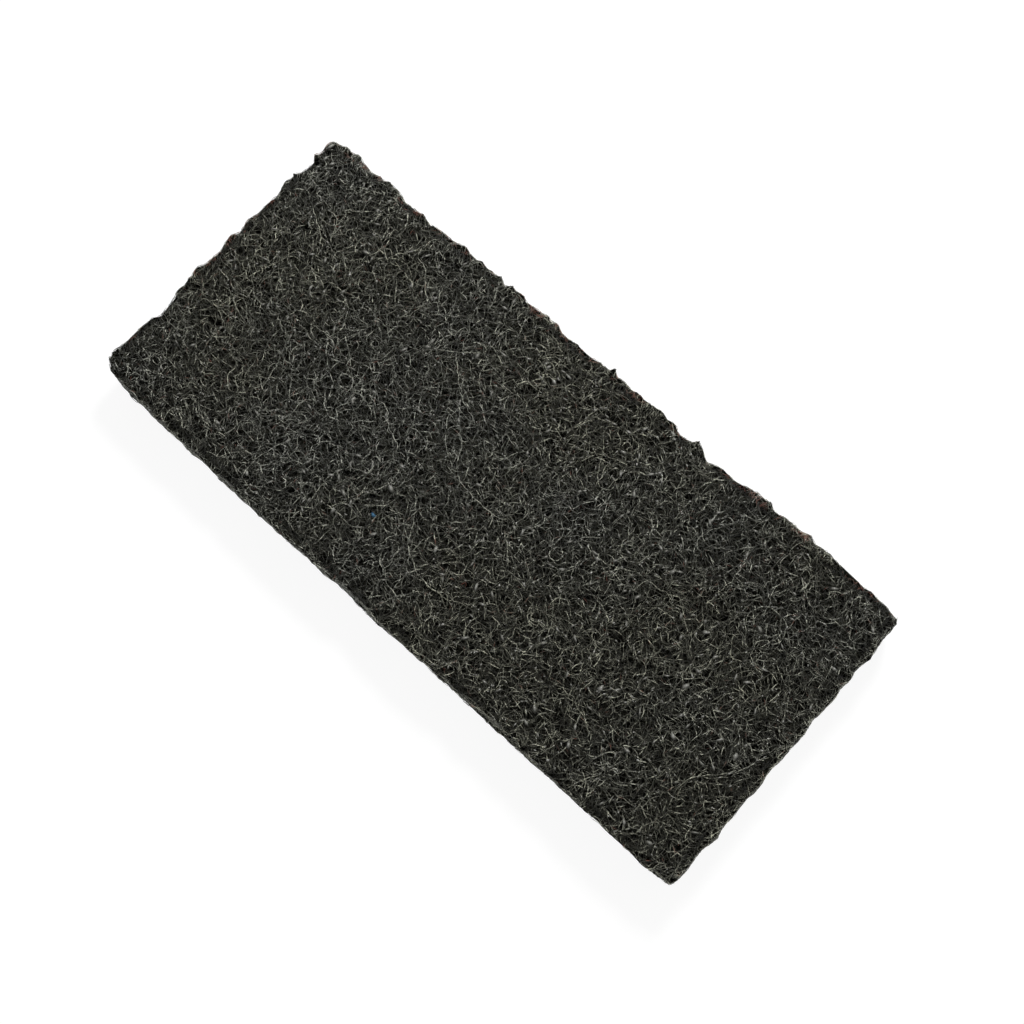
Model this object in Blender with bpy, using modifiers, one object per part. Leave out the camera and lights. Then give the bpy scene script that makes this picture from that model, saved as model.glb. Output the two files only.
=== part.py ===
"""Scrub pad: one slab of curled synthetic fibres, laid at random and bonded where they cross.

The pad lies flat, with its lower face on z = 0 and its long side along X. It starts as an
oversize blank with worn corners. Matted locks of fibre then wander over every face and round
the rims, as raised ridges with pits between them, and the blades that cut the pad out of its
sheet trim whatever stands past its six planes.
"""

import math
import random

import bmesh
import bpy
from mathutils import Matrix, Vector, noise
from mathutils.bvhtree import BVHTree
from mathutils.kdtree import KDTree

# Overall size, in metres
LENGTH = 0.254
WIDTH = 0.114
THICKNESS = 0.019

# The blank
TRIM_ALLOWANCE = 0.0005
RIM_RADIUS = 0.0022
CORNER_RADII = {
    (-1, -1): 0.0080,
    (-1, 1): 0.0075,
    (1, 1): 0.0025,
    (1, -1): 0.0055,
}
CORNER_STEPS = 6
RIM_STEPS = 3

# The tuft that stands out of the corner at -X, +Y, and its share of the pits' depth
TUFT_RADIUS = 0.0031
TUFT_HEIGHT = 0.0150
TUFT_DETAIL = 3
TUFT_PITS = 0.25

# How far each side wanders in from its plane, and over what length it does so. The end at +X
# is a clean cut and the long side at +Y is torn.
SIDE_WANDER = {
    (1, 0): (0.0003, 0.040),
    (-1, 0): (0.0016, 0.015),
    (0, 1): (0.0016, 0.0065),
    (0, -1): (0.0003, 0.012),
}
WANDER_BIAS = 0.5

# The one long wave of the side at -Y: its depth, its span and how far along it stands out most
LONG_WAVE_DEPTH = 0.0014
LONG_WAVE_SPAN = 0.3175
LONG_WAVE_CREST = 0.19

# Depth of the pits between the locks
FACE_PIT = 0.0028
SIDE_PIT = 0.0015
CLEAN_CUT_PIT = 0.0008
UNDERSIDE_PIT = 0.0011

# The locks of matted fibre
LOCKS_ON_TOP = 130
LOCKS_UNDERNEATH = 64
LOCKS_ON_LONG_SIDE = 28
LOCKS_ON_END = 9
LOCK_LENGTH = (0.028, 0.056)
LOCK_HALF_WIDTH = (0.0010, 0.0014)
LOCK_CREST = (-0.0009, 0.0)
TIGHTEST_CURL = 0.0070
CURL_DRIFT = 8.0
MOST_TURN = math.radians(250)
SIDE_LEAN = 0.5
LOCK_STEP = 0.0005
LOCK_TAPER = 0.004

# The mesh
SKIN_CELL = 0.00065
TRIANGLES = 11700
FLAT_WITHIN = 0.00012
SEED = 41

# Steps of an even spread over a unit square, from the plastic number
SPREAD = (0.7548777, 0.5698403)

# Looks
BONDED_FIBRE = (0.047, 0.047, 0.040, 1.0)
FIBRE_ROUGHNESS = 0.82
SHARP_FOLD = math.radians(50)


def clear_scene():
    for thing in list(bpy.data.objects):
        bpy.data.objects.remove(thing, do_unlink=True)


def blank_half_size():
    """Half of the blank's length, width and thickness."""
    return (
        Vector((LENGTH, WIDTH, THICKNESS)) / 2
        + Vector((TRIM_ALLOWANCE, TRIM_ALLOWANCE, TRIM_ALLOWANCE))
    )


def round_corners(blank):
    """Wears each upright edge of the blank to its own radius, and then both rims to one."""
    for (x_side, y_side), radius in CORNER_RADII.items():
        upright = [
            edge
            for edge in blank.edges
            if all(v.co.x * x_side > 0 and v.co.y * y_side > 0 for v in edge.verts)
            and abs(edge.verts[0].co.z - edge.verts[1].co.z) > THICKNESS / 2
        ]
        bmesh.ops.bevel(
            blank,
            geom=upright,
            offset=radius,
            segments=CORNER_STEPS,
            profile=0.5,
            affect="EDGES",
        )
    rims = [
        edge
        for edge in blank.edges
        if abs(edge.verts[0].co.z - edge.verts[1].co.z) < THICKNESS / 2
    ]
    bmesh.ops.bevel(
        blank,
        geom=rims,
        offset=RIM_RADIUS,
        segments=RIM_STEPS,
        profile=0.5,
        affect="EDGES",
    )


def tuft_middle():
    """The middle of the tuft, which touches the planes of both of its sides."""
    half = blank_half_size()
    return Vector((TUFT_RADIUS - half.x, half.y - TUFT_RADIUS, THICKNESS / 2))


def add_corner_tuft(blank):
    """A knob of fibre that the blade pulled out of one corner and left standing."""
    place = Matrix.Translation(tuft_middle())
    shape = Matrix.Diagonal((TUFT_RADIUS, TUFT_RADIUS, TUFT_HEIGHT / 2, 1))
    bmesh.ops.create_icosphere(
        blank, subdivisions=TUFT_DETAIL, radius=1, matrix=place @ shape
    )


def make_blank():
    """The worn slab and its tuft, as one mesh of overlapping closed shapes."""
    blank = bmesh.new()
    size = blank_half_size() * 2
    bmesh.ops.create_cube(
        blank,
        size=1,
        matrix=Matrix.Translation((0, 0, THICKNESS / 2)) @ Matrix.Diagonal((*size, 1)),
    )
    round_corners(blank)
    add_corner_tuft(blank)
    mesh = bpy.data.meshes.new("blank")
    blank.to_mesh(mesh)
    blank.free()
    return bpy.data.objects.new("blank", mesh)


def applied(thing):
    """The mesh that a modifier leaves of an object, which is then removed."""
    graph = bpy.context.evaluated_depsgraph_get()
    mesh = bpy.data.meshes.new_from_object(thing.evaluated_get(graph))
    bpy.data.objects.remove(thing, do_unlink=True)
    return mesh


def even_skin(collection):
    """One closed skin of even cells over the blank."""
    blank = make_blank()
    collection.objects.link(blank)
    remesh = blank.modifiers.new("even_cells", "REMESH")
    remesh.mode = "VOXEL"
    remesh.voxel_size = SKIN_CELL
    return applied(blank)


def lock_middles():
    """The middle of each lock, the first of them at the middle of its face, and a direction."""
    faces = (
        (LOCKS_ON_TOP, 2, 1),
        (LOCKS_UNDERNEATH, 2, -1),
        (LOCKS_ON_LONG_SIDE, 1, 1),
        (LOCKS_ON_LONG_SIDE, 1, -1),
        (LOCKS_ON_END, 0, 1),
        (LOCKS_ON_END, 0, -1),
    )
    half = blank_half_size()
    middle = Vector((0, 0, THICKNESS / 2))
    for count, across, side in faces:
        along = [axis for axis in range(3) if axis != across]
        for index in range(count):
            place = Vector()
            place[across] = side * half[across]
            for axis, step in zip(along, SPREAD):
                place[axis] = (2 * ((index * step + 0.5) % 1) - 1) * half[axis]
            heading = Vector([random.gauss(0, 1) for _ in range(3)])
            heading[across] = 0
            if across != 2:
                heading.z *= SIDE_LEAN
            yield middle + place, heading.normalized()


def half_lock(tree, place, heading, bend, reach):
    """One way along a curl that follows the skin, up to its reach or before it turns too far."""
    path = []
    turned = 0
    for _ in range(int(reach / LOCK_STEP)):
        place, normal, _, _ = tree.find_nearest(place)
        path.append(place)
        heading = (heading - normal * heading.dot(normal)).normalized()
        heading = Matrix.Rotation(bend * LOCK_STEP, 3, normal) @ heading
        turned += bend * LOCK_STEP
        if abs(turned) > MOST_TURN / 2:
            break
        bend += random.gauss(0, CURL_DRIFT)
        bend = max(-1 / TIGHTEST_CURL, min(1 / TIGHTEST_CURL, bend))
        place = place + heading * LOCK_STEP
    return path


def lock_path(tree, place, heading):
    """A curl that runs both ways from its middle."""
    reach = random.uniform(*LOCK_LENGTH) / 2
    bend = random.uniform(-1, 1) / TIGHTEST_CURL
    back = half_lock(tree, place, -heading, -bend, reach)
    ahead = half_lock(tree, place, heading, bend, reach)
    return back[:0:-1] + ahead


def lay_lock(tree, place, heading):
    """The points of one lock, each with its half width and crest, which sinks at both ends."""
    half_width = random.uniform(*LOCK_HALF_WIDTH)
    crest = random.uniform(*LOCK_CREST)
    path = lock_path(tree, place, heading)
    for index, point in enumerate(path):
        to_end = min(index, len(path) - 1 - index) * LOCK_STEP
        sink = (1 - min(1, to_end / LOCK_TAPER)) ** 2 * (crest + FACE_PIT)
        yield point, half_width, crest - sink


def lay_locks(skin):
    """Every lock's points over the whole skin."""
    tree = BVHTree.FromPolygons(
        [v.co for v in skin.vertices], [p.vertices for p in skin.polygons]
    )
    return [
        point
        for place, heading in lock_middles()
        for point in lay_lock(tree, place, heading)
    ]


def off_tuft(place):
    """0 on the axis of the tuft and 1 from just outside it."""
    return min(1, (place - tuft_middle()).xy.length / TUFT_RADIUS / 1.2) ** 2


def pit_depth(place, normal):
    """How deep the pits are here, on the part of the skin that faces this way."""
    flat = FACE_PIT if normal.z > 0 else UNDERSIDE_PIT
    side = SIDE_PIT + (CLEAN_CUT_PIT - SIDE_PIT) * max(0, normal.x)
    depth = side + (flat - side) * normal.z**2
    return depth * (TUFT_PITS + (1 - TUFT_PITS) * off_tuft(place))


def long_wave(place):
    """How far the long wave takes the side at -Y in from its plane here."""
    along = place.x + LENGTH * (0.5 - LONG_WAVE_CREST)
    return LONG_WAVE_DEPTH * (1 - math.cos(2 * math.pi * along / LONG_WAVE_SPAN)) / 2


def side_wander(place, normal):
    """How far a side lies in from its plane here."""
    total = long_wave(place) * max(0, -normal.y) ** 2
    for (x_side, y_side), (depth, span) in SIDE_WANDER.items():
        faces_it = max(0, normal.x * x_side + normal.y * y_side)
        along = place.x * abs(y_side) + place.y * abs(x_side)
        swing = noise.noise(Vector((along / span, x_side, y_side))) + WANDER_BIAS
        total += depth * min(1, max(0, swing)) * faces_it**2
    return total * off_tuft(place)


def raise_locks(skin, locks):
    """Sinks the skin to the floor of the pits, except under the locks."""
    tree = KDTree(len(locks))
    for index, (place, _, _) in enumerate(locks):
        tree.insert(place, index)
    tree.balance()
    widest = LOCK_HALF_WIDTH[1]
    moved = []
    for vertex in skin.vertices:
        place, normal = vertex.co, vertex.normal
        depth = pit_depth(place, normal)
        height = -depth
        for _, index, distance in tree.find_range(place, widest):
            _, half_width, crest = locks[index]
            crest *= depth / FACE_PIT
            rise = crest - (crest + depth) * (distance / half_width) ** 2
            height = max(height, rise)
        moved.append(place + normal * (height - side_wander(place, normal)))
    for vertex, place in zip(skin.vertices, moved):
        vertex.co = place


def trim_flush(skin):
    """Cuts off whatever stands past the pad's six planes."""
    low = Vector((-LENGTH / 2, -WIDTH / 2, 0))
    high = Vector((LENGTH / 2, WIDTH / 2, THICKNESS))
    for vertex in skin.vertices:
        for axis in range(3):
            within = min(high[axis], max(low[axis], vertex.co[axis]))
            if abs(vertex.co[axis] - low[axis]) < FLAT_WITHIN:
                within = low[axis]
            if abs(vertex.co[axis] - high[axis]) < FLAT_WITHIN:
                within = high[axis]
            vertex.co[axis] = within


def thinned(skin, collection):
    """The same skin with long triangles where it is plain and small ones where it curls."""
    dense = bpy.data.objects.new("dense", skin)
    collection.objects.link(dense)
    triangles = sum(len(p.vertices) - 2 for p in skin.polygons)
    decimate = dense.modifiers.new("fewer_triangles", "DECIMATE")
    decimate.ratio = TRIANGLES / triangles
    decimate.use_collapse_triangulate = True
    return applied(dense)


def fibre_material():
    """Dark synthetic fibre with its resin."""
    material = bpy.data.materials.new("bonded_fibre")
    material.use_nodes = True
    shader = material.node_tree.nodes["Principled BSDF"]
    shader.inputs["Base Color"].default_value = BONDED_FIBRE
    shader.inputs["Roughness"].default_value = FIBRE_ROUGHNESS
    shader.inputs["Metallic"].default_value = 0.0
    material.diffuse_color = BONDED_FIBRE
    return material


def make_pad(collection):
    skin = even_skin(collection)
    raise_locks(skin, lay_locks(skin))
    trim_flush(skin)
    light = thinned(skin, collection)
    trim_flush(light)
    light.materials.clear()
    light.materials.append(fibre_material())
    light.shade_smooth()
    light.set_sharp_from_angle(angle=SHARP_FOLD)
    pad = bpy.data.objects.new("pad", light)
    collection.objects.link(pad)
    return pad


def main():
    random.seed(SEED)
    clear_scene()
    collection = bpy.data.collections.new("scrub_pad")
    bpy.context.scene.collection.children.link(collection)
    make_pad(collection)


main()
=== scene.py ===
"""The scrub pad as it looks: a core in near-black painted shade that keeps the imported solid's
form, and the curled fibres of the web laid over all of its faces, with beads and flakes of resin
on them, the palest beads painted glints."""

import math
from collections import namedtuple

import bmesh
import bpy
import numpy as np
from mathutils import Matrix, Vector, noise
from mathutils.bvhtree import BVHTree


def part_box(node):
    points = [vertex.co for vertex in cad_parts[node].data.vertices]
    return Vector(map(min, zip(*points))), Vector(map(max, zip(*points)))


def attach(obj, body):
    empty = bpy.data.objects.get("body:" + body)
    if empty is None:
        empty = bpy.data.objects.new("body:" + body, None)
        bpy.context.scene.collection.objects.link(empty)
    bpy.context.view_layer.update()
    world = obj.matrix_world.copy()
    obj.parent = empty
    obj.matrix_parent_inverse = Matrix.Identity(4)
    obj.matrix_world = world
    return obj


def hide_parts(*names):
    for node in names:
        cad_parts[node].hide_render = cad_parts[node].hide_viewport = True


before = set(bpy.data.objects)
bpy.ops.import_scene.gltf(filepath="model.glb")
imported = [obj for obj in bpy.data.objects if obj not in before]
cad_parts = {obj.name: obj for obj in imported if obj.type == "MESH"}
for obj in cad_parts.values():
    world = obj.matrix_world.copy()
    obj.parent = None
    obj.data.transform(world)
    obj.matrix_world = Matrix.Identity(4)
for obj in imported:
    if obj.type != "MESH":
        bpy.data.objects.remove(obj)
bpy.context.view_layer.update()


LOW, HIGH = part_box("pad")
LENGTH, WIDTH, THICKNESS = HIGH - LOW
MM = 0.001

# The camera, solved from the four corners of the pad's upper face in the photograph
LENS = 49.15
SENSOR = 36.0
CAMERA_FROM_TOP = Vector((0.0928, -0.0744, 0.4408))
CAMERA_RIGHT = Vector((0.7384, 0.6739, -0.0247))
CAMERA_UP = Vector((-0.6498, 0.7209, 0.2409))
CAMERA_AHEAD = Vector((-0.1801, 0.1618, -0.9702))
CAMERA_NUDGE = (0.0003, -0.0008)

# The lamp, the light all round, the floor's size and paper, and how white the camera sees it
LAMP_PLACE = (-0.14, 0.48, 0.52)
LAMP_SIZE = 0.20
LAMP_POWER = 5.4
ROOM_LIGHT = 0.36
FLOOR_REACH = 3.0
PAPER = 0.86
FLOOR_GLOW = 1.10
GLOW_SHARE = 0.82
WHITE = (1.0, 1.0, 1.0, 1.0)

# The fibres: how far apart their points are, how they curl and how thick they are
STEP = 1.25 * MM
CURL_MEMORY = 0.86
TIGHTEST = 1.6 * MM
CRIMP_BEAT = (1.0, 2.2)
FIBRE_RADIUS = (0.056 * MM, 0.112 * MM)
FEWEST_POINTS = 3
SIDES = 3
END_TAPER = 0.6
RESIN_SWELL = 0.352

# Each layer of the web: the face it lies on, its pieces and the lengths of fibre in each, how many
# points a fibre has, how wide its curls are and how many degrees it crimps, how deep its fibres
# start, how far their ends dive, how far they rise and dip, and how deep the pits take them
Layer = namedtuple("Layer", "face pieces segments points curl crimp shallow dive ripple pit")
LAYERS = {
    "top_long": Layer(
        "top", 1, 14000, (8, 24), (4.0 * MM, 30.0 * MM), (6, 26),
        1.2 * MM, (0.0, 0.2 * MM), (0.15 * MM, 0.45 * MM), 0.3 * MM,
    ),
    "top_short": Layer(
        "top", 3, 26000, (3, 5), (3.0 * MM, 40.0 * MM), (0, 22),
        1.0 * MM, (0.2 * MM, 0.9 * MM), (0.0, 0.15 * MM), 0.3 * MM,
    ),
    "underside": Layer(
        "underside", 1, 23000, (4, 12), (5.0 * MM, 40.0 * MM), (2, 16),
        0.6 * MM, (0.1 * MM, 0.5 * MM), (0.05 * MM, 0.20 * MM), 0.3 * MM,
    ),
    "sides": Layer(
        "sides", 1, 30000, (3, 7), (3.0 * MM, 30.0 * MM), (4, 24),
        0.25 * MM, (0.1 * MM, 0.4 * MM), (0.02 * MM, 0.12 * MM), 0.0,
    ),
}

# How quickly fibres rise and dip, and the pits between them: their size, how much of a face they
# take and how steep they are
RIPPLE_BEAT = (0.9, 1.6)
PIT_SIZE = 2.3 * MM
PIT_LEVEL = 0.50
PIT_SLOPE = 4.0

# How far fibres stand out of a face, how clear they stay of the core, how far a loose end may be
# from the solid, and how far past the edges fibres are laid
STANDS_PROUD = 0.15 * MM
CORE_CLEAR = 0.12 * MM
LOOSE_ENDS = 0.10 * MM
OVER_EDGE = 1.6 * MM

# How far over a face the search for the solid starts, how far under it and how far round it goes
LIFT = 6 * MM
FACE_DEPTH = 3.2 * MM
LOOSE_REACH = 2 * MM

# How far a fibre may stand over the solid: at the sides, and from this far inwards
BRIDGES = (0.15 * MM, 3.0 * MM)
BRIDGE_REACH = 5.0 * MM

# How pale fibres are: the darkest fibre's tone, how few are pale, how dark the painted shade of
# depth makes the deepest and from which depth, how that painted shade fades towards the rims, and
# how uneven each fibre is
DARKEST_FIBRE = 0.15
FEW_PALE = 1.5
DIP_SHADE = 0.95
DIP_CURVE = 0.7
SHADE_DEPTH = 1.20 * MM
RIM_REACH = 3.0 * MM
RIM_SHADE = 0.15
UNEVEN_AND_GLINTS = (-0.15, 0.55)

# The sides' fibres lie close to the surface, and this much painted shade darkens them all for it
SIDE_PAINTED_SHADE = 0.72

# How far the core lies under the solid's surface, well inside and at the sides
CORE_SINK = 0.75 * MM
SIDE_SINK = 0.45 * MM

# How near two points of the solid are when they are one, how many times the points near the sides
# are smoothed, and the nearness from which they are
SAME_POINT = 0.001 * MM
SOFTENINGS = 3
SOFTENED = 0.4

# The sides bulge into lobes: how far inwards that is felt, and for each side how far the lobes
# stand out, how long each is and how far the least of them stands out
LOBE_DEPTH = 6.0 * MM
LOBES = {
    (1, 0): (1.5 * MM, 11.0 * MM, 0.02 * MM),
    (-1, 0): (0.8 * MM, 15.0 * MM, -0.12 * MM),
    (0, 1): (1.4 * MM, 5.2 * MM, 0.60 * MM),
    (0, -1): (0.5 * MM, 9.0 * MM, -0.06 * MM),
}

# The two waves of the lobes: how strong each is, the second one's pace, where they start on the
# ends and on the long sides, and how much, how often and how slantwise they change with height
LOBE_WAVES = (0.27, 0.23)
LOBE_PACE = 0.618
LOBE_START = (1.3, 2.1, 0.7)
LOBE_RISE = (0.3, 5.0, 0.7)

# How much of the sides' dips is filled
FILLED = {(1, 0): 0.4, (-1, 0): 0.7, (0, 1): 0.95, (0, -1): 0.4}

# How far the sides crumble in smaller lumps, and how big those are
CRUMBLE = {(1, 0): 0.3 * MM, (-1, 0): 0.7 * MM, (0, 1): 0.8 * MM, (0, -1): 0.3 * MM}
CRUMB_SIZE = 2.6 * MM

# The one corner that is worn slantwise: how far in, from how far along its long side, and how
# evenly
WORN_CORNER = (-1, -1)
WORN_DEPTH = 1.1 * MM
WORN_REACH = 28.0 * MM
WORN_CURVE = 0.7

# Beads, flakes and films of resin: how many, how long they are, how wide and how thick for their
# length, how pale they are, how deep the deepest lies and how many corners go round each
Resin = namedtuple("Resin", "count length width thick pale deepest rim")
RESIN = {
    # The beads are resin, and the palest of them are painted glints: pale lumps put where
    # highlights would be
    "resin_beads_and_painted_glints": Resin(
        3800, (0.09 * MM, 0.28 * MM), (0.5, 0.9), (0.5, 0.9), (0.3, 1.0), 0.22 * MM, 4
    ),
    "resin_flakes": Resin(
        2200, (0.22 * MM, 0.65 * MM), (0.30, 0.60), (0.15, 0.30), (0.0, 0.35), 0.45 * MM, 5
    ),
    "resin_films": Resin(
        600, (0.60 * MM, 1.60 * MM), (0.25, 0.50), (0.08, 0.15), (0.0, 0.12), 0.40 * MM, 7
    ),
}
RESIN_STRAY = 0.25 * MM
RESIN_TILT = 0.35
RESIN_UNEVEN = (0.65, 1.2)

# One fleck of blue that is caught in the upper face: where, its half sizes, the corners round it,
# how ragged it is, the size of its mottle and its two blues
FLECK_PLACE = (-21.2 * MM, -32.3 * MM)
FLECK_BELOW = 0.15 * MM
FLECK_SIZE = (1.1 * MM, 0.7 * MM, 0.25 * MM)
FLECK_RIM = 9
FLECK_UNEVEN = (0.6, 1.1)
FLECK_MOTTLE = 0.8 * MM
FLECK_BLUES = ((0.010, 0.045, 0.12, 1.0), (0.035, 0.14, 0.24, 1.0))

# Columns of fibres in the map that the bake uses, and the margins of each fibre's cell
BAKE_COLUMNS = 20
CELL_MARGINS = (0.04, 0.10)

# The finish of the fibres: a slow drift between two dyes, patches that are dark or pale, grit that
# is nearly black, and swells. Each edge is where a noise starts to show and where it is full
DRIFT_SIZE = 45 * MM
DRIFT_EDGE = (0.35, 0.65)
PATCH_SIZE = 0.40 * MM
PATCH_EDGE = (0.42, 0.62)
PATCH_TONE = (0.12, 1.6)
GRIT_SIZE = 0.28 * MM
GRIT_EDGE = (0.50, 0.72)
GRIT_SHARE = 0.5
GRIT_DARK = 0.012
DYED_DARK = 0.003
SWELL_SIZE = 0.90 * MM
FIBRE_RELIEF = 0.30 * MM

# The strands that are seen in the core: their sizes, how strong the second is and how fast they
# fade from there, how sharp their edges are, and how far each size is shifted from the last
STRAND_SIZES = (4.2 * MM, 3.6 * MM, 3.1 * MM, 2.6 * MM, 2.1 * MM, 1.7 * MM)
STRAND_LEVEL = 0.90
STRAND_FADE = 0.12
STRAND_EDGE = (0.008, 0.035)
STRAND_SHIFT = Vector((0.37, 0.19, 0.0))
STRAND_PLACE = Vector((0.0, 0.0, 0.53))
STRAND_RELIEF = 0.3 * MM

# The darkest and the palest grey of the core, which are painted shade, and of the resin, whose
# palest beads are painted glints
CORE_SHADE_GREYS = (0.0012, 0.045)
RESIN_GREYS = (0.12, 0.86)

# Rust: its colour, how near the torn sides it lies, its share there and elsewhere, how big its
# patches are, the level of noise at which one starts, and how strong it is
RUST = (0.26, 0.100, 0.070, 1.0)
RUSTY_REACH = 2.2 * MM
RUSTY_SHARE = (0.50, 0.006)
RUST_PATCH = 4.0 * MM
RUST_LEVEL = 0.58
RUST_STRENGTH = (0.4, 1.0)

# The start of the random numbers, and the steps of an even spread in four directions, from the
# root of x to the fifth = x + 1
SEED = 7
SPREAD = 1.1673040 ** -np.arange(1.0, 5.0)

# Fibres laid for each one needed, because some miss the pad
SPARE = 1.12


class Value:
    """A shader socket that works in plain arithmetic."""

    def __init__(self, shader, socket):
        self.shader = shader
        self.socket = socket

    def math(self, operation, *others):
        return self.shader.add("ShaderNodeMath", {"operation": operation}, [self, *others])

    def __add__(self, other):
        return self.math("ADD", other)

    def __sub__(self, other):
        return self.math("SUBTRACT", other)

    def __mul__(self, other):
        return self.math("MULTIPLY", other)

    def __rsub__(self, other):
        return self.shader.add("ShaderNodeMath", {"operation": "SUBTRACT"}, [other, self])

    __radd__ = __add__
    __rmul__ = __mul__

    def between(self, low, high):
        """0 below low, 1 above high and an even rise between."""
        settings = {"operation": "MULTIPLY_ADD", "use_clamp": True}
        slope = 1 / (high - low)
        return self.shader.add("ShaderNodeMath", settings, [self, slope, -low * slope])


class Shader:
    """The nodes of one material, or of the world."""

    def __init__(self, owner):
        self.owner = owner
        owner.use_nodes = True
        self.tree = owner.node_tree
        self.tree.nodes.clear()

    def add(self, kind, settings=None, values=None, output=0):
        """Adds a node: its settings first, then its sockets by name or by number."""
        node = self.tree.nodes.new(kind)
        for name, value in (settings or {}).items():
            setattr(node, name, value)
        given = values if isinstance(values, dict) else dict(enumerate(values or []))
        for key, value in given.items():
            socket = node.inputs[key]
            if isinstance(value, Value):
                self.tree.links.new(value.socket, socket)
            else:
                socket.default_value = value
        return Value(self, node.outputs[output]) if node.outputs else None

    def attribute(self, name):
        return self.add("ShaderNodeAttribute", {"attribute_name": name}, output="Fac")

    def place(self):
        return self.add("ShaderNodeTexCoord", output="Object")

    def noise(self, size, detail=2.0, place=None):
        """Noise whose lumps are about this size, in metres."""
        values = {"Vector": place or self.place(), "Scale": 1 / size, "Detail": detail}
        return self.add("ShaderNodeTexNoise", {"noise_dimensions": "3D"}, values, "Fac")

    def strands(self, size, number):
        """Thin curved lines, 1 on a line: where a smooth noise passes its middle value."""
        values = {"Vector": self.place(), "Location": STRAND_PLACE + STRAND_SHIFT * number}
        field = self.noise(size, 0.0, self.add("ShaderNodeMapping", {}, values))
        return 1 - (field - 0.5).math("ABSOLUTE").between(*STRAND_EDGE)

    def larger(self, first, second):
        return self.add("ShaderNodeMath", {"operation": "MAXIMUM"}, [first, second])

    def mix(self, share, first, second):
        """A colour between two colours, which are the node's inputs 6 and 7."""
        values = {0: share, 6: first, 7: second}
        return self.add("ShaderNodeMix", {"data_type": "RGBA"}, values, 2)

    def bump(self, height, distance):
        values = {"Height": height, "Distance": distance, "Strength": 1.0}
        return self.add("ShaderNodeBump", {}, values)

    def seen(self):
        """1 where the camera sees this, straight or in something glossy or clear."""
        rays = [
            self.add("ShaderNodeLightPath", output=f"Is {kind} Ray")
            for kind in ("Camera", "Glossy", "Transmission")
        ]
        return self.larger(self.larger(rays[0], rays[1]), rays[2])

    def surface(self, **values):
        """Ends the material in a Principled shader with these sockets."""
        named = {name.replace("_", " "): value for name, value in values.items()}
        shader = self.add("ShaderNodeBsdfPrincipled", {}, named)
        self.add("ShaderNodeOutputMaterial", {}, {"Surface": shader})
        return self.owner


def grey(level, warm=1.0, blue=0.80):
    """A colour near grey, with less blue in it."""
    return (level * warm, level, level * blue, 1.0)


def fibre_material():
    """Dyed synthetic fibre, in its own tone from strand to strand, with grit stuck along it; its
    tone also carries painted shade and painted glints.
    """
    shader = Shader(bpy.data.materials.new("bonded_fibre"))
    rust = shader.attribute("rust")
    drift = shader.noise(DRIFT_SIZE, 1.0).between(*DRIFT_EDGE)
    patch = shader.noise(PATCH_SIZE, 1.0).between(*PATCH_EDGE)
    grit = shader.noise(GRIT_SIZE)
    swells = shader.noise(SWELL_SIZE, 0.0)
    # The tone holds each fibre's own tone, painted shade where it lies deep or on the sides, and
    # painted glints in its palest bits
    tone = shader.attribute("tone") * (PATCH_TONE[0] + PATCH_TONE[1] * patch)
    cool = shader.mix(tone, grey(DYED_DARK, warm=0.99, blue=0.88), grey(1.0, warm=0.98, blue=0.87))
    olive = shader.mix(tone, grey(DYED_DARK), grey(1.0, blue=0.79))
    plain = shader.mix(drift, cool, olive)
    gritty = shader.mix(grit.between(*GRIT_EDGE) * GRIT_SHARE, plain, grey(GRIT_DARK))
    worn = shader.mix(rust, gritty, RUST)
    return shader.surface(
        Base_Color=worn,
        Roughness=0.14 + 0.4 * grit,
        Specular_IOR_Level=0.22,
        Normal=shader.bump(swells + 0.4 * grit, FIBRE_RELIEF),
    )


def core_material():
    """The web's inside, in painted shade: strands too deep to see singly, nearly black between
    them.
    """
    shader = Shader(bpy.data.materials.new("web_core_in_painted_shade"))
    strands = shader.strands(STRAND_SIZES[0], 0)
    for number, size in enumerate(STRAND_SIZES[1:], 1):
        level = STRAND_LEVEL - STRAND_FADE * (number - 1)
        fainter = shader.strands(size, number) * level
        strands = shader.larger(strands, fainter)
    # Painted shade: the core is coloured near black, as deep fibres lying in shade
    return shader.surface(
        Base_Color=shader.mix(strands, grey(CORE_SHADE_GREYS[0]), grey(CORE_SHADE_GREYS[1])),
        Roughness=0.9,
        Specular_IOR_Level=0.0,
        Normal=shader.bump(strands, STRAND_RELIEF),
    )


def resin_material():
    """The resin that holds the fibres together, where it set in beads and flakes; the palest beads
    are painted glints.
    """
    shader = Shader(bpy.data.materials.new("resin"))
    dark, pale = grey(RESIN_GREYS[0], blue=0.86), grey(RESIN_GREYS[1], blue=0.94)
    return shader.surface(
        Base_Color=shader.mix(shader.attribute("tone"), dark, pale),
        Roughness=0.10 + 0.3 * shader.noise(0.5 * MM),
    )


def floor_material():
    """White paper that the camera sees at full white and that still takes a shadow."""
    shader = Shader(bpy.data.materials.new("white_floor"))
    paper = shader.add("ShaderNodeBsdfDiffuse", {}, {"Color": grey(PAPER, blue=1.0)})
    glow = shader.add("ShaderNodeEmission", {}, {"Color": WHITE, "Strength": FLOOR_GLOW})
    both = shader.add("ShaderNodeMixShader", {}, [shader.seen() * GLOW_SHARE, paper, glow])
    shader.add("ShaderNodeOutputMaterial", {}, {"Surface": both})
    return shader.owner


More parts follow.
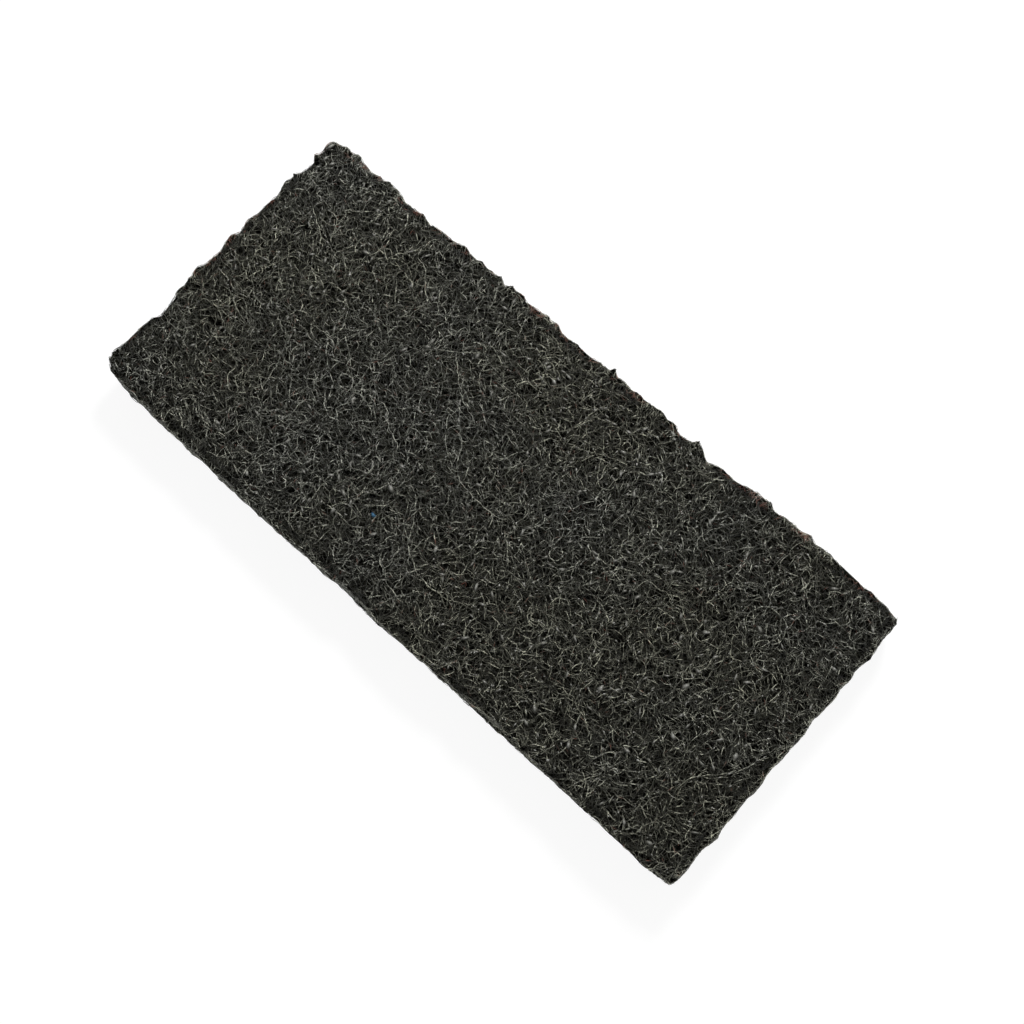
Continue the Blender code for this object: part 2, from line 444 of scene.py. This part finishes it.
def mesh_of(name, points, polygons, places=None):
    """A smooth mesh of faces that all have as many corners, and where each lies in the bake."""
    mesh = bpy.data.meshes.new(name)
    count, corners = polygons.shape
    mesh.vertices.add(len(points))
    mesh.vertices.foreach_set("co", points.astype(np.float32).ravel())
    mesh.loops.add(count * corners)
    mesh.loops.foreach_set("vertex_index", polygons.astype(np.int32).ravel())
    mesh.polygons.add(count)
    starts = np.arange(0, count * corners, corners, dtype=np.int32)
    mesh.polygons.foreach_set("loop_start", starts)
    mesh.polygons.foreach_set("use_smooth", np.ones(count, bool))
    mesh.update(calc_edges=True)
    if places is not None:
        layer = mesh.uv_layers.new(name="OFBake")
        layer.uv.foreach_set("vector", places.astype(np.float32).ravel())
    return mesh


def points_of(mesh):
    found = np.empty(len(mesh.vertices) * 3, np.float32)
    mesh.vertices.foreach_get("co", found)
    return found.reshape(-1, 3).astype(float)


def point_values(mesh, name, values):
    attribute = mesh.attributes.new(name, "FLOAT", "POINT")
    attribute.data.foreach_set("value", values.astype(np.float32))


def put(name, mesh, material):
    """Links a piece that rides on the pad's one body and takes its finish from its one slot."""
    piece = bpy.data.objects.new(name, mesh)
    bpy.context.scene.collection.objects.link(piece)
    mesh.materials.clear()
    mesh.materials.append(material)
    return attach(piece, "root")


def side_distance(points):
    """How far each point is inside each side of the pad."""
    x, y = points[..., 0], points[..., 1]
    return {
        (1, 0): LENGTH / 2 - x,
        (-1, 0): LENGTH / 2 + x,
        (0, 1): WIDTH / 2 - y,
        (0, -1): WIDTH / 2 + y,
    }


def lobe(points, side):
    """How far one side stands out at each point: its least, and a wander up to its reach."""
    reach, wave, least = LOBES[side]
    along = points[..., 0] if side[0] == 0 else points[..., 1]
    turn = 2 * math.pi * along / wave
    start, on_ends, on_sides = LOBE_START
    phase = start + on_ends * side[0] + on_sides * side[1]
    first = LOBE_WAVES[0] * np.sin(turn + phase)
    second = LOBE_WAVES[1] * np.sin(LOBE_PACE * turn + 2 * phase)
    amount, often, slant = LOBE_RISE
    rise = 1 + amount * np.sin(points[..., 2] / THICKNESS * often + turn * slant)
    return least + reach * (0.5 + first + second) * rise


def with_lobes(points):
    """The same points with the pad's four sides bulged into their lobes and one corner worn."""
    moved = points.copy()
    crumbs = 2 * lumps(points, CRUMB_SIZE) - 1
    for side, inside in side_distance(points).items():
        share = np.clip(1 - inside / LOBE_DEPTH, 0, 1) ** 2
        out = lobe(points, side) + crumbs * CRUMBLE[side]
        out = out + np.maximum(inside, 0) * FILLED[side]
        for axis in (0, 1):
            moved[..., axis] += side[axis] * share * out
    inside = side_distance(points)
    end, edge = (WORN_CORNER[0], 0), (0, WORN_CORNER[1])
    along = np.clip(1 - inside[end] / WORN_REACH, 0, 1)
    worn = along * np.clip(1 - inside[edge] / LOBE_DEPTH, 0, 1)
    moved[..., 1] -= WORN_CORNER[1] * worn**WORN_CURVE * WORN_DEPTH
    return moved


def nearest_side(points):
    """How far each point is inside the side that is nearest to it."""
    return np.min(list(side_distance(points).values()), axis=0)


def nearness(points):
    """1 at the sides of the pad and 0 from a lobe's depth inwards."""
    return np.clip(1 - nearest_side(points) / LOBE_DEPTH, 0, 1)


def sink_at(points):
    """How far the core lies under the solid's surface."""
    return CORE_SINK + (SIDE_SINK - CORE_SINK) * nearness(points) ** 0.5


def soften_sides(mesh):
    """Rounds the points and corners that stand out of the four sides."""
    rounder = bmesh.new()
    rounder.from_mesh(mesh)
    rounder.verts.ensure_lookup_table()
    near = [rounder.verts[i] for i in np.flatnonzero(nearness(points_of(mesh)) > SOFTENED)]
    for _ in range(SOFTENINGS):
        bmesh.ops.smooth_vert(
            rounder,
            verts=near,
            factor=0.5,
            use_axis_x=True,
            use_axis_y=True,
            use_axis_z=True,
        )
    rounder.to_mesh(mesh)
    rounder.free()


def finer_solid():
    """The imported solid, closed, with each triangle cut in four and its sides in lobes."""
    closed = bmesh.new()
    closed.from_mesh(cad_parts["pad"].data)
    bmesh.ops.remove_doubles(closed, verts=closed.verts, dist=SAME_POINT)
    welded = bpy.data.meshes.new("welded")
    closed.to_mesh(welded)
    closed.free()
    thing = bpy.data.objects.new("finer", welded)
    bpy.context.scene.collection.objects.link(thing)
    finer = thing.modifiers.new("finer", "SUBSURF")
    finer.subdivision_type = "SIMPLE"
    finer.levels = 1
    graph = bpy.context.evaluated_depsgraph_get()
    mesh = bpy.data.meshes.new_from_object(thing.evaluated_get(graph))
    bpy.data.objects.remove(thing)
    soften_sides(mesh)
    mesh.vertices.foreach_set("co", with_lobes(points_of(mesh)).ravel())
    mesh.polygons.foreach_set("use_smooth", np.ones(len(mesh.polygons), bool))
    mesh.update()
    return mesh


def tree_of(mesh):
    return BVHTree.FromPolygons([v.co for v in mesh.vertices], [p.vertices for p in mesh.polygons])


def make_core(mesh, material):
    """The lobed solid drawn in under the fibres, which keeps its ridges and pits."""
    points = points_of(mesh)
    normals = np.empty(len(points) * 3, np.float32)
    mesh.vertex_normals.foreach_get("vector", normals)
    sunk = points - normals.reshape(-1, 3) * sink_at(points)[:, None]
    sunk[:, 2] = np.clip(sunk[:, 2], LOW.z, HIGH.z)
    mesh.vertices.foreach_set("co", sunk.ravel())
    mesh.update()
    core = put("web_core_in_painted_shade", mesh, material)
    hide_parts("pad")


def face_frames():
    """Each face of the pad: its middle, two directions along it, one out of it and half sizes."""
    middle = (LOW + HIGH) / 2
    x, y, z = Vector((1, 0, 0)), Vector((0, 1, 0)), Vector((0, 0, 1))
    half = (HIGH - LOW) / 2
    wide, deep = half.x + OVER_EDGE, half.y + OVER_EDGE
    return {
        "top": [(middle + z * half.z, x, y, z, wide, deep)],
        "underside": [(middle - z * half.z, x, -y, -z, wide, deep)],
        "sides": [
            (middle + y * half.y, -x, z, y, half.x, half.z),
            (middle - y * half.y, x, z, -y, half.x, half.z),
            (middle + x * half.x, y, z, x, half.y, half.z),
            (middle - x * half.x, -y, z, -x, half.y, half.z),
        ],
    }


def curls(count, layer, rng):
    """Random curled and crimped paths in a plane, each about its own middle."""
    points = layer.points[1]
    bend = np.empty((count, points))
    bend[:, 0] = rng.normal(size=count)
    kick = rng.normal(size=(count, points)) * math.sqrt(1 - CURL_MEMORY**2)
    for i in range(1, points):
        bend[:, i] = bend[:, i - 1] * CURL_MEMORY + kick[:, i]
    radius = np.exp(rng.uniform(*np.log(layer.curl), (count, 1)))
    bend = np.clip(bend / radius, -1 / TIGHTEST, 1 / TIGHTEST)
    heading = rng.uniform(0, 2 * math.pi, (count, 1)) + np.cumsum(bend * STEP, axis=1)
    crimp = np.radians(rng.uniform(*layer.crimp, (count, 1)))
    heading = heading + crimp * beats(count, points, CRIMP_BEAT, rng)
    steps = np.stack([np.cos(heading), np.sin(heading)], axis=2) * STEP
    path = np.cumsum(steps, axis=1)
    return path - path.mean(axis=1, keepdims=True)


def beats(count, points, pace, rng):
    """A sine along each fibre that has its own pace and starts anywhere."""
    beat = rng.uniform(*pace, (count, 1)) * np.arange(points)
    return np.sin(beat + rng.uniform(0, 2 * math.pi, (count, 1)))


def even_spread(count, rng):
    """Four numbers from 0 to 1 for each fibre, spread evenly, in no order that shows."""
    index = rng.permutation(count)[:, None]
    return ((index * SPREAD + rng.uniform(size=len(SPREAD))) % 1)[:, None]


def smooth_along(values):
    """Each row with its points drawn halfway to the mean of their neighbours."""
    wide = np.pad(values, ((0, 0), (1, 1)), mode="edge")
    return (wide[:, :-2] + 2 * wide[:, 1:-1] + wide[:, 2:]) / 4


def lumps(points, size):
    """A smooth random level from 0 to 1 at each point, with lumps of about this size."""
    level = np.array([noise.noise(place) for place in (points / size).reshape(-1, 3).tolist()])
    return np.clip(0.5 + level, 0, 1).reshape(points.shape[:-1])


def drop_onto(tree, flat, out):
    """How far below each point of a face the solid lies, and which points miss it."""
    starts = (flat + LIFT * np.array(out)).reshape(-1, 3)
    found = np.full(len(starts), np.nan)
    for i, start in enumerate(starts.tolist()):
        hit = tree.ray_cast(start, -out, LIFT + FACE_DEPTH)
        if hit[0] is not None:
            found[i] = hit[3] - LIFT
    found = found.reshape(flat.shape[:-1])
    missed = np.isnan(found)
    index = np.arange(found.shape[1])
    for row, gone in zip(found, missed):
        if gone.any() and not gone.all():
            row[gone] = np.interp(index[gone], index[~gone], row[~gone])
    return found, missed


def gap_to(tree, points, reach):
    """How far each point is from the solid, or the reach where that is more."""
    found = np.full(len(points), reach)
    for i, point in enumerate(points.tolist()):
        hit = tree.find_nearest(point, reach)
        if hit[0] is not None:
            found[i] = hit[3]
    return found


def lay_fibres(tree, face, layer, count, rng):
    """Fibres over one face: their points, which are kept, how deep each lies, and their tones."""
    origin, along, up, out, half_along, half_up = face
    spread = even_spread(count, rng)
    path = curls(count, layer, rng) + (2 * spread[..., :2] - 1) * [half_along, half_up]
    flat = np.array(origin) + path[..., :1] * np.array(along) + path[..., 1:] * np.array(up)
    drop, missed = drop_onto(tree, flat, out)
    deepest = drop + sink_at(flat) - CORE_CLEAR

    index = np.arange(layer.points[1])
    own_points = rng.integers(layer.points[0], layer.points[1] + 1, (count, 1))
    from_middle = np.abs(2 * index / (own_points - 1) - 1)
    pit = np.clip((PIT_LEVEL - lumps(flat, PIT_SIZE)) * PIT_SLOPE, 0, 1) * layer.pit
    face_level = drop if layer.face == "sides" else 0.0
    depth = spread[..., 2] * layer.shallow + pit + face_level
    depth = smooth_along(smooth_along(np.minimum(depth, deepest)))
    depth = depth + rng.uniform(*layer.dive, (count, 1)) * from_middle**2
    ripple = rng.uniform(*layer.ripple, (count, 1))
    depth = depth + ripple * beats(count, len(index), RIPPLE_BEAT, rng)
    highest = np.maximum(face_level - STANDS_PROUD, drop - bridge_at(flat))
    depth = np.clip(depth, highest, deepest)
    laid = flat - depth[..., None] * np.array(out)

    keep = ~missed
    keep[missed] = gap_to(tree, laid[missed], LOOSE_REACH) < LOOSE_ENDS
    keep &= index < own_points
    first = keep.argmax(axis=1)[:, None]
    ended = np.cumsum(~keep & (index >= first), axis=1) > 0
    return laid, keep & ~ended & (index >= first), depth - face_level, spread[..., 3]


def bridge_at(points):
    """How far a fibre may stand over the solid at each point."""
    free = np.clip(nearest_side(points) / BRIDGE_REACH, 0, 1) ** 3
    return BRIDGES[0] + (BRIDGES[1] - BRIDGES[0]) * free


def cell_places(fibre, along, turns, count):
    """Where each corner lies in the bake: one cell a fibre, along it across and round it up."""
    rows = math.ceil(count / BAKE_COLUMNS)
    beside, below = CELL_MARGINS
    across = (fibre % BAKE_COLUMNS + beside + (1 - 2 * beside) * along) / BAKE_COLUMNS
    upward = (fibre // BAKE_COLUMNS + below + (1 - 2 * below) * turns / SIDES) / rows
    return np.stack([across, upward], axis=-1)


def tubes(path, keep, outward, radius):
    """One tube round each path's kept points, and the point of the path behind each of its own."""
    count, points, _ = path.shape
    ahead = np.gradient(path, axis=1)
    ahead /= np.linalg.norm(ahead, axis=2, keepdims=True) + 1e-12
    side = np.cross(ahead, outward[:, None, :])
    side /= np.linalg.norm(side, axis=2, keepdims=True) + 1e-12
    over = np.cross(side, ahead)
    turn = np.arange(SIDES) * 2 * math.pi / SIDES + math.pi / 2
    ends = keep & ~(np.roll(keep, 1, axis=1) & np.roll(keep, -1, axis=1))
    thick = np.where(ends, radius * END_TAPER, radius)[:, :, None, None]
    ring = path[:, :, None] + thick * (
        np.cos(turn)[:, None] * side[:, :, None] + np.sin(turn)[:, None] * over[:, :, None]
    )
    number = np.full((count, points), -1)
    number[keep] = np.arange(keep.sum())
    both = keep[:, :-1] & keep[:, 1:]
    near, far = number[:, :-1][both] * SIDES, number[:, 1:][both] * SIDES
    spot = np.arange(count * points).reshape(count, points)[:, :-1][both]
    faces, places = [], []
    for i in range(SIDES):
        j = (i + 1) % SIDES
        faces.append(np.stack([near + i, far + i, far + j, near + j], axis=1))
        spots = np.stack([spot, spot + 1, spot + 1, spot], axis=1)
        along = spots % points / (points - 1)
        places.append(cell_places(spots // points, along, np.array([i, i, i + 1, i + 1]), count))
    source = np.repeat(np.flatnonzero(keep), SIDES)
    return ring[keep].reshape(-1, 3), np.concatenate(faces), np.concatenate(places), source


def tones(path, depth, own, rng):
    """How pale the fibres are: each its own, darker in painted shade where they dip, and uneven
    along them, with pale bits that are painted glints.
    """
    own = DARKEST_FIBRE + (1 - DARKEST_FIBRE) * own**FEW_PALE
    # Painted shade: each fibre is darkened with its depth under the face, less so near the rims
    dip = depth * np.clip(nearest_side(path) / RIM_REACH, RIM_SHADE, 1)
    lit = 1 - DIP_SHADE * np.clip(dip / SHADE_DEPTH, 0, 1) ** DIP_CURVE
    # Uneven along each fibre: random tone, whose palest bits are painted glints
    return own * lit * np.exp(rng.normal(*UNEVEN_AND_GLINTS, depth.shape))


def rusts(path, rng):
    """How rusty each point is: short stains, most of them near the torn sides."""
    inside = side_distance(path)
    torn = np.minimum(inside[0, 1], inside[-1, 0]) < RUSTY_REACH
    torn[torn] = lumps(path[torn], RUST_PATCH) > RUST_LEVEL
    stained = rng.uniform(size=torn.shape) < np.where(torn, *RUSTY_SHARE)
    return stained * rng.uniform(*RUST_STRENGTH, torn.shape)


def web_piece(tree, name, layer, material, rng):
    """One piece of the web: its fibres, shared out over the layer's faces."""
    faces = face_frames()[layer.face]
    areas = np.array([half_along * half_up for *_, half_along, half_up in faces])
    share = layer.segments / (sum(layer.points) / 2 - 1) * SPARE * areas / areas.sum()
    counts = share.astype(int)
    laid = [lay_fibres(tree, face, layer, n, rng) for face, n in zip(faces, counts)]
    path, keep, depth, own = (np.concatenate(part) for part in zip(*laid))
    outward = np.repeat([tuple(face[3]) for face in faces], counts, axis=0)
    order = rng.permutation(np.flatnonzero(keep.sum(axis=1) >= FEWEST_POINTS))
    chosen = order[np.cumsum(keep[order].sum(axis=1) - 1) <= layer.segments]
    path, keep, depth, own = path[chosen], keep[chosen], depth[chosen], own[chosen]
    outward = outward[chosen]
    path[..., 2] = np.clip(path[..., 2], LOW.z + FIBRE_RADIUS[1], None)

    swell = smooth_along(rng.normal(size=keep.shape)) * RESIN_SWELL
    radius = rng.uniform(*FIBRE_RADIUS, (len(keep), 1)) * np.exp(swell)
    corners, polygons, places, source = tubes(path, keep, outward, radius)
    corners[:, 2] = np.clip(corners[:, 2], LOW.z, None)
    mesh = mesh_of(name, corners, polygons, places)
    # Painted shade: all the sides' fibres are darkened by this much
    shade = SIDE_PAINTED_SHADE if layer.face == "sides" else 1.0
    point_values(mesh, "tone", shade * tones(path, depth, own, rng).ravel()[source])
    point_values(mesh, "rust", rusts(path, rng).ravel()[source])
    print(name, len(keep), "fibres", len(polygons) * 2, "triangles")
    put(name, mesh, material)
    return path, keep, depth, outward


def lump_template(rim):
    """The points and triangles of one plain lump: so many corners round it and its two poles."""
    turn = np.arange(rim) * 2 * math.pi / rim
    ring = np.stack([np.cos(turn), np.sin(turn), np.zeros(rim)], axis=1)
    points = np.concatenate([ring, [(0, 0, 1), (0, 0, -1)]])
    upper = [(i, (i + 1) % rim, rim) for i in range(rim)]
    lower = [(second, first, rim + 1) for first, second, _ in upper]
    return points, np.array(upper + lower)


def resin_spots(resin, webs, rng):
    """Where the lumps of resin sit, the way the fibre runs there and the way out of the face."""
    spots, heads, outs = [], [], []
    total = sum(keep.sum() for _, keep, _, _ in webs)
    for path, keep, depth, outward in webs:
        shown = np.flatnonzero(keep & (depth < resin.deepest))
        number = min(int(resin.count * keep.sum() / total), len(shown))
        chosen = rng.choice(shown, number, replace=False)
        spots.append(path.reshape(-1, 3)[chosen])
        heads.append(np.gradient(path, axis=1).reshape(-1, 3)[chosen])
        outs.append(outward[chosen // path.shape[1]])
    return np.concatenate(spots), np.concatenate(heads), np.concatenate(outs)


def resin_piece(name, webs, material, rng):
    """Lumps of resin on the fibres that lie nearest the faces, long the way the fibre runs."""
    resin = RESIN[name]
    spots, heads, outs = resin_spots(resin, webs, rng)
    count = len(spots)
    stray = rng.normal(size=(count, 3)) * RESIN_STRAY
    spots = spots + stray * (1 - np.abs(outs))
    across = np.cross(heads, outs + RESIN_TILT * rng.normal(size=(count, 3)))
    axes = np.stack([heads, across, np.cross(heads, across)], axis=1)
    axes /= np.linalg.norm(axes, axis=2, keepdims=True)
    long = rng.uniform(*resin.length, (count, 1))
    wide = rng.uniform(*resin.width, (count, 1))
    deep = rng.uniform(*resin.thick, (count, 1))
    sizes = long * np.concatenate([np.ones((count, 1)), wide, deep], axis=1)

    lump, triangles = lump_template(resin.rim)
    shaped = lump * rng.uniform(*RESIN_UNEVEN, (count, len(lump), 1)) * sizes[:, None]
    corners = (spots[:, None] + shaped @ axes).reshape(-1, 3)
    corners[:, 2] = np.clip(corners[:, 2], LOW.z, None)
    polygons = (np.arange(count)[:, None, None] * len(lump) + triangles).reshape(-1, 3)
    mesh = mesh_of(name, corners, polygons)
    point_values(mesh, "tone", np.repeat(rng.uniform(*resin.pale, count), len(lump)))
    put(name, mesh, material)


def make_fleck(rng):
    """The one blue fleck: a chip of paint with a ragged edge."""
    shader = Shader(bpy.data.materials.new("blue_fleck"))
    chip = shader.surface(
        Base_Color=shader.mix(shader.noise(FLECK_MOTTLE).between(0.4, 0.6), *FLECK_BLUES),
        Roughness=0.4,
    )
    lump, triangles = lump_template(FLECK_RIM)
    corners = lump * rng.uniform(*FLECK_UNEVEN, (len(lump), 1)) * FLECK_SIZE
    corners = corners + (*FLECK_PLACE, HIGH.z - FLECK_BELOW)
    put("blue_fleck", mesh_of("blue_fleck", corners, triangles), chip)


def make_floor():
    reach = FLOOR_REACH
    mesh = bpy.data.meshes.new("white_floor")
    corners = [(-reach, -reach, 0), (reach, -reach, 0), (reach, reach, 0), (-reach, reach, 0)]
    mesh.from_pydata(corners, [], [(0, 1, 2, 3)])
    floor = bpy.data.objects.new("white_floor", mesh)
    bpy.context.scene.collection.objects.link(floor)
    mesh.materials.append(floor_material())


def make_camera():
    camera = bpy.data.objects.new("camera", bpy.data.cameras.new("camera"))
    camera.data.lens = LENS
    camera.data.sensor_width = SENSOR
    turned = Matrix((CAMERA_RIGHT, CAMERA_UP, -CAMERA_AHEAD)).transposed().to_4x4()
    nudge = CAMERA_RIGHT * CAMERA_NUDGE[0] + CAMERA_UP * CAMERA_NUDGE[1]
    turned.translation = CAMERA_FROM_TOP + Vector((0, 0, THICKNESS)) + nudge
    camera.matrix_world = turned
    bpy.context.scene.collection.objects.link(camera)
    bpy.context.scene.camera = camera


def make_lamp():
    """One soft square lamp above the long side at +Y, turned to the pad."""
    light = bpy.data.lights.new("softbox", "AREA")
    light.size = LAMP_SIZE
    light.energy = LAMP_POWER
    lamp = bpy.data.objects.new("softbox", light)
    lamp.location = LAMP_PLACE
    lamp.rotation_euler = (-Vector(LAMP_PLACE)).to_track_quat("-Z", "Y").to_euler()
    bpy.context.scene.collection.objects.link(lamp)


def make_room():
    """A white room: white to the camera, and a low even light on the pad."""
    room = Shader(bpy.data.worlds.new("studio"))
    level = ROOM_LIGHT + (1 - ROOM_LIGHT) * room.seen()
    light = room.add("ShaderNodeBackground", {}, {"Color": WHITE, "Strength": level})
    room.add("ShaderNodeOutputWorld", {}, {"Surface": light})
    bpy.context.scene.world = room.owner
    bpy.context.scene.view_settings.view_transform = "Standard"


def main():
    rng = np.random.default_rng(SEED)
    make_camera()
    make_lamp()
    make_room()
    make_floor()
    solid = finer_solid()
    tree = tree_of(solid)
    make_core(solid, core_material())
    fibre, resin = fibre_material(), resin_material()
    webs = []
    for name, layer in LAYERS.items():
        for number in range(1, layer.pieces + 1):
            webs.append(web_piece(tree, f"web_{name}_{number}", layer, fibre, rng))
    for name in RESIN:
        resin_piece(name, webs, resin, rng)
    make_fleck(rng)


main()
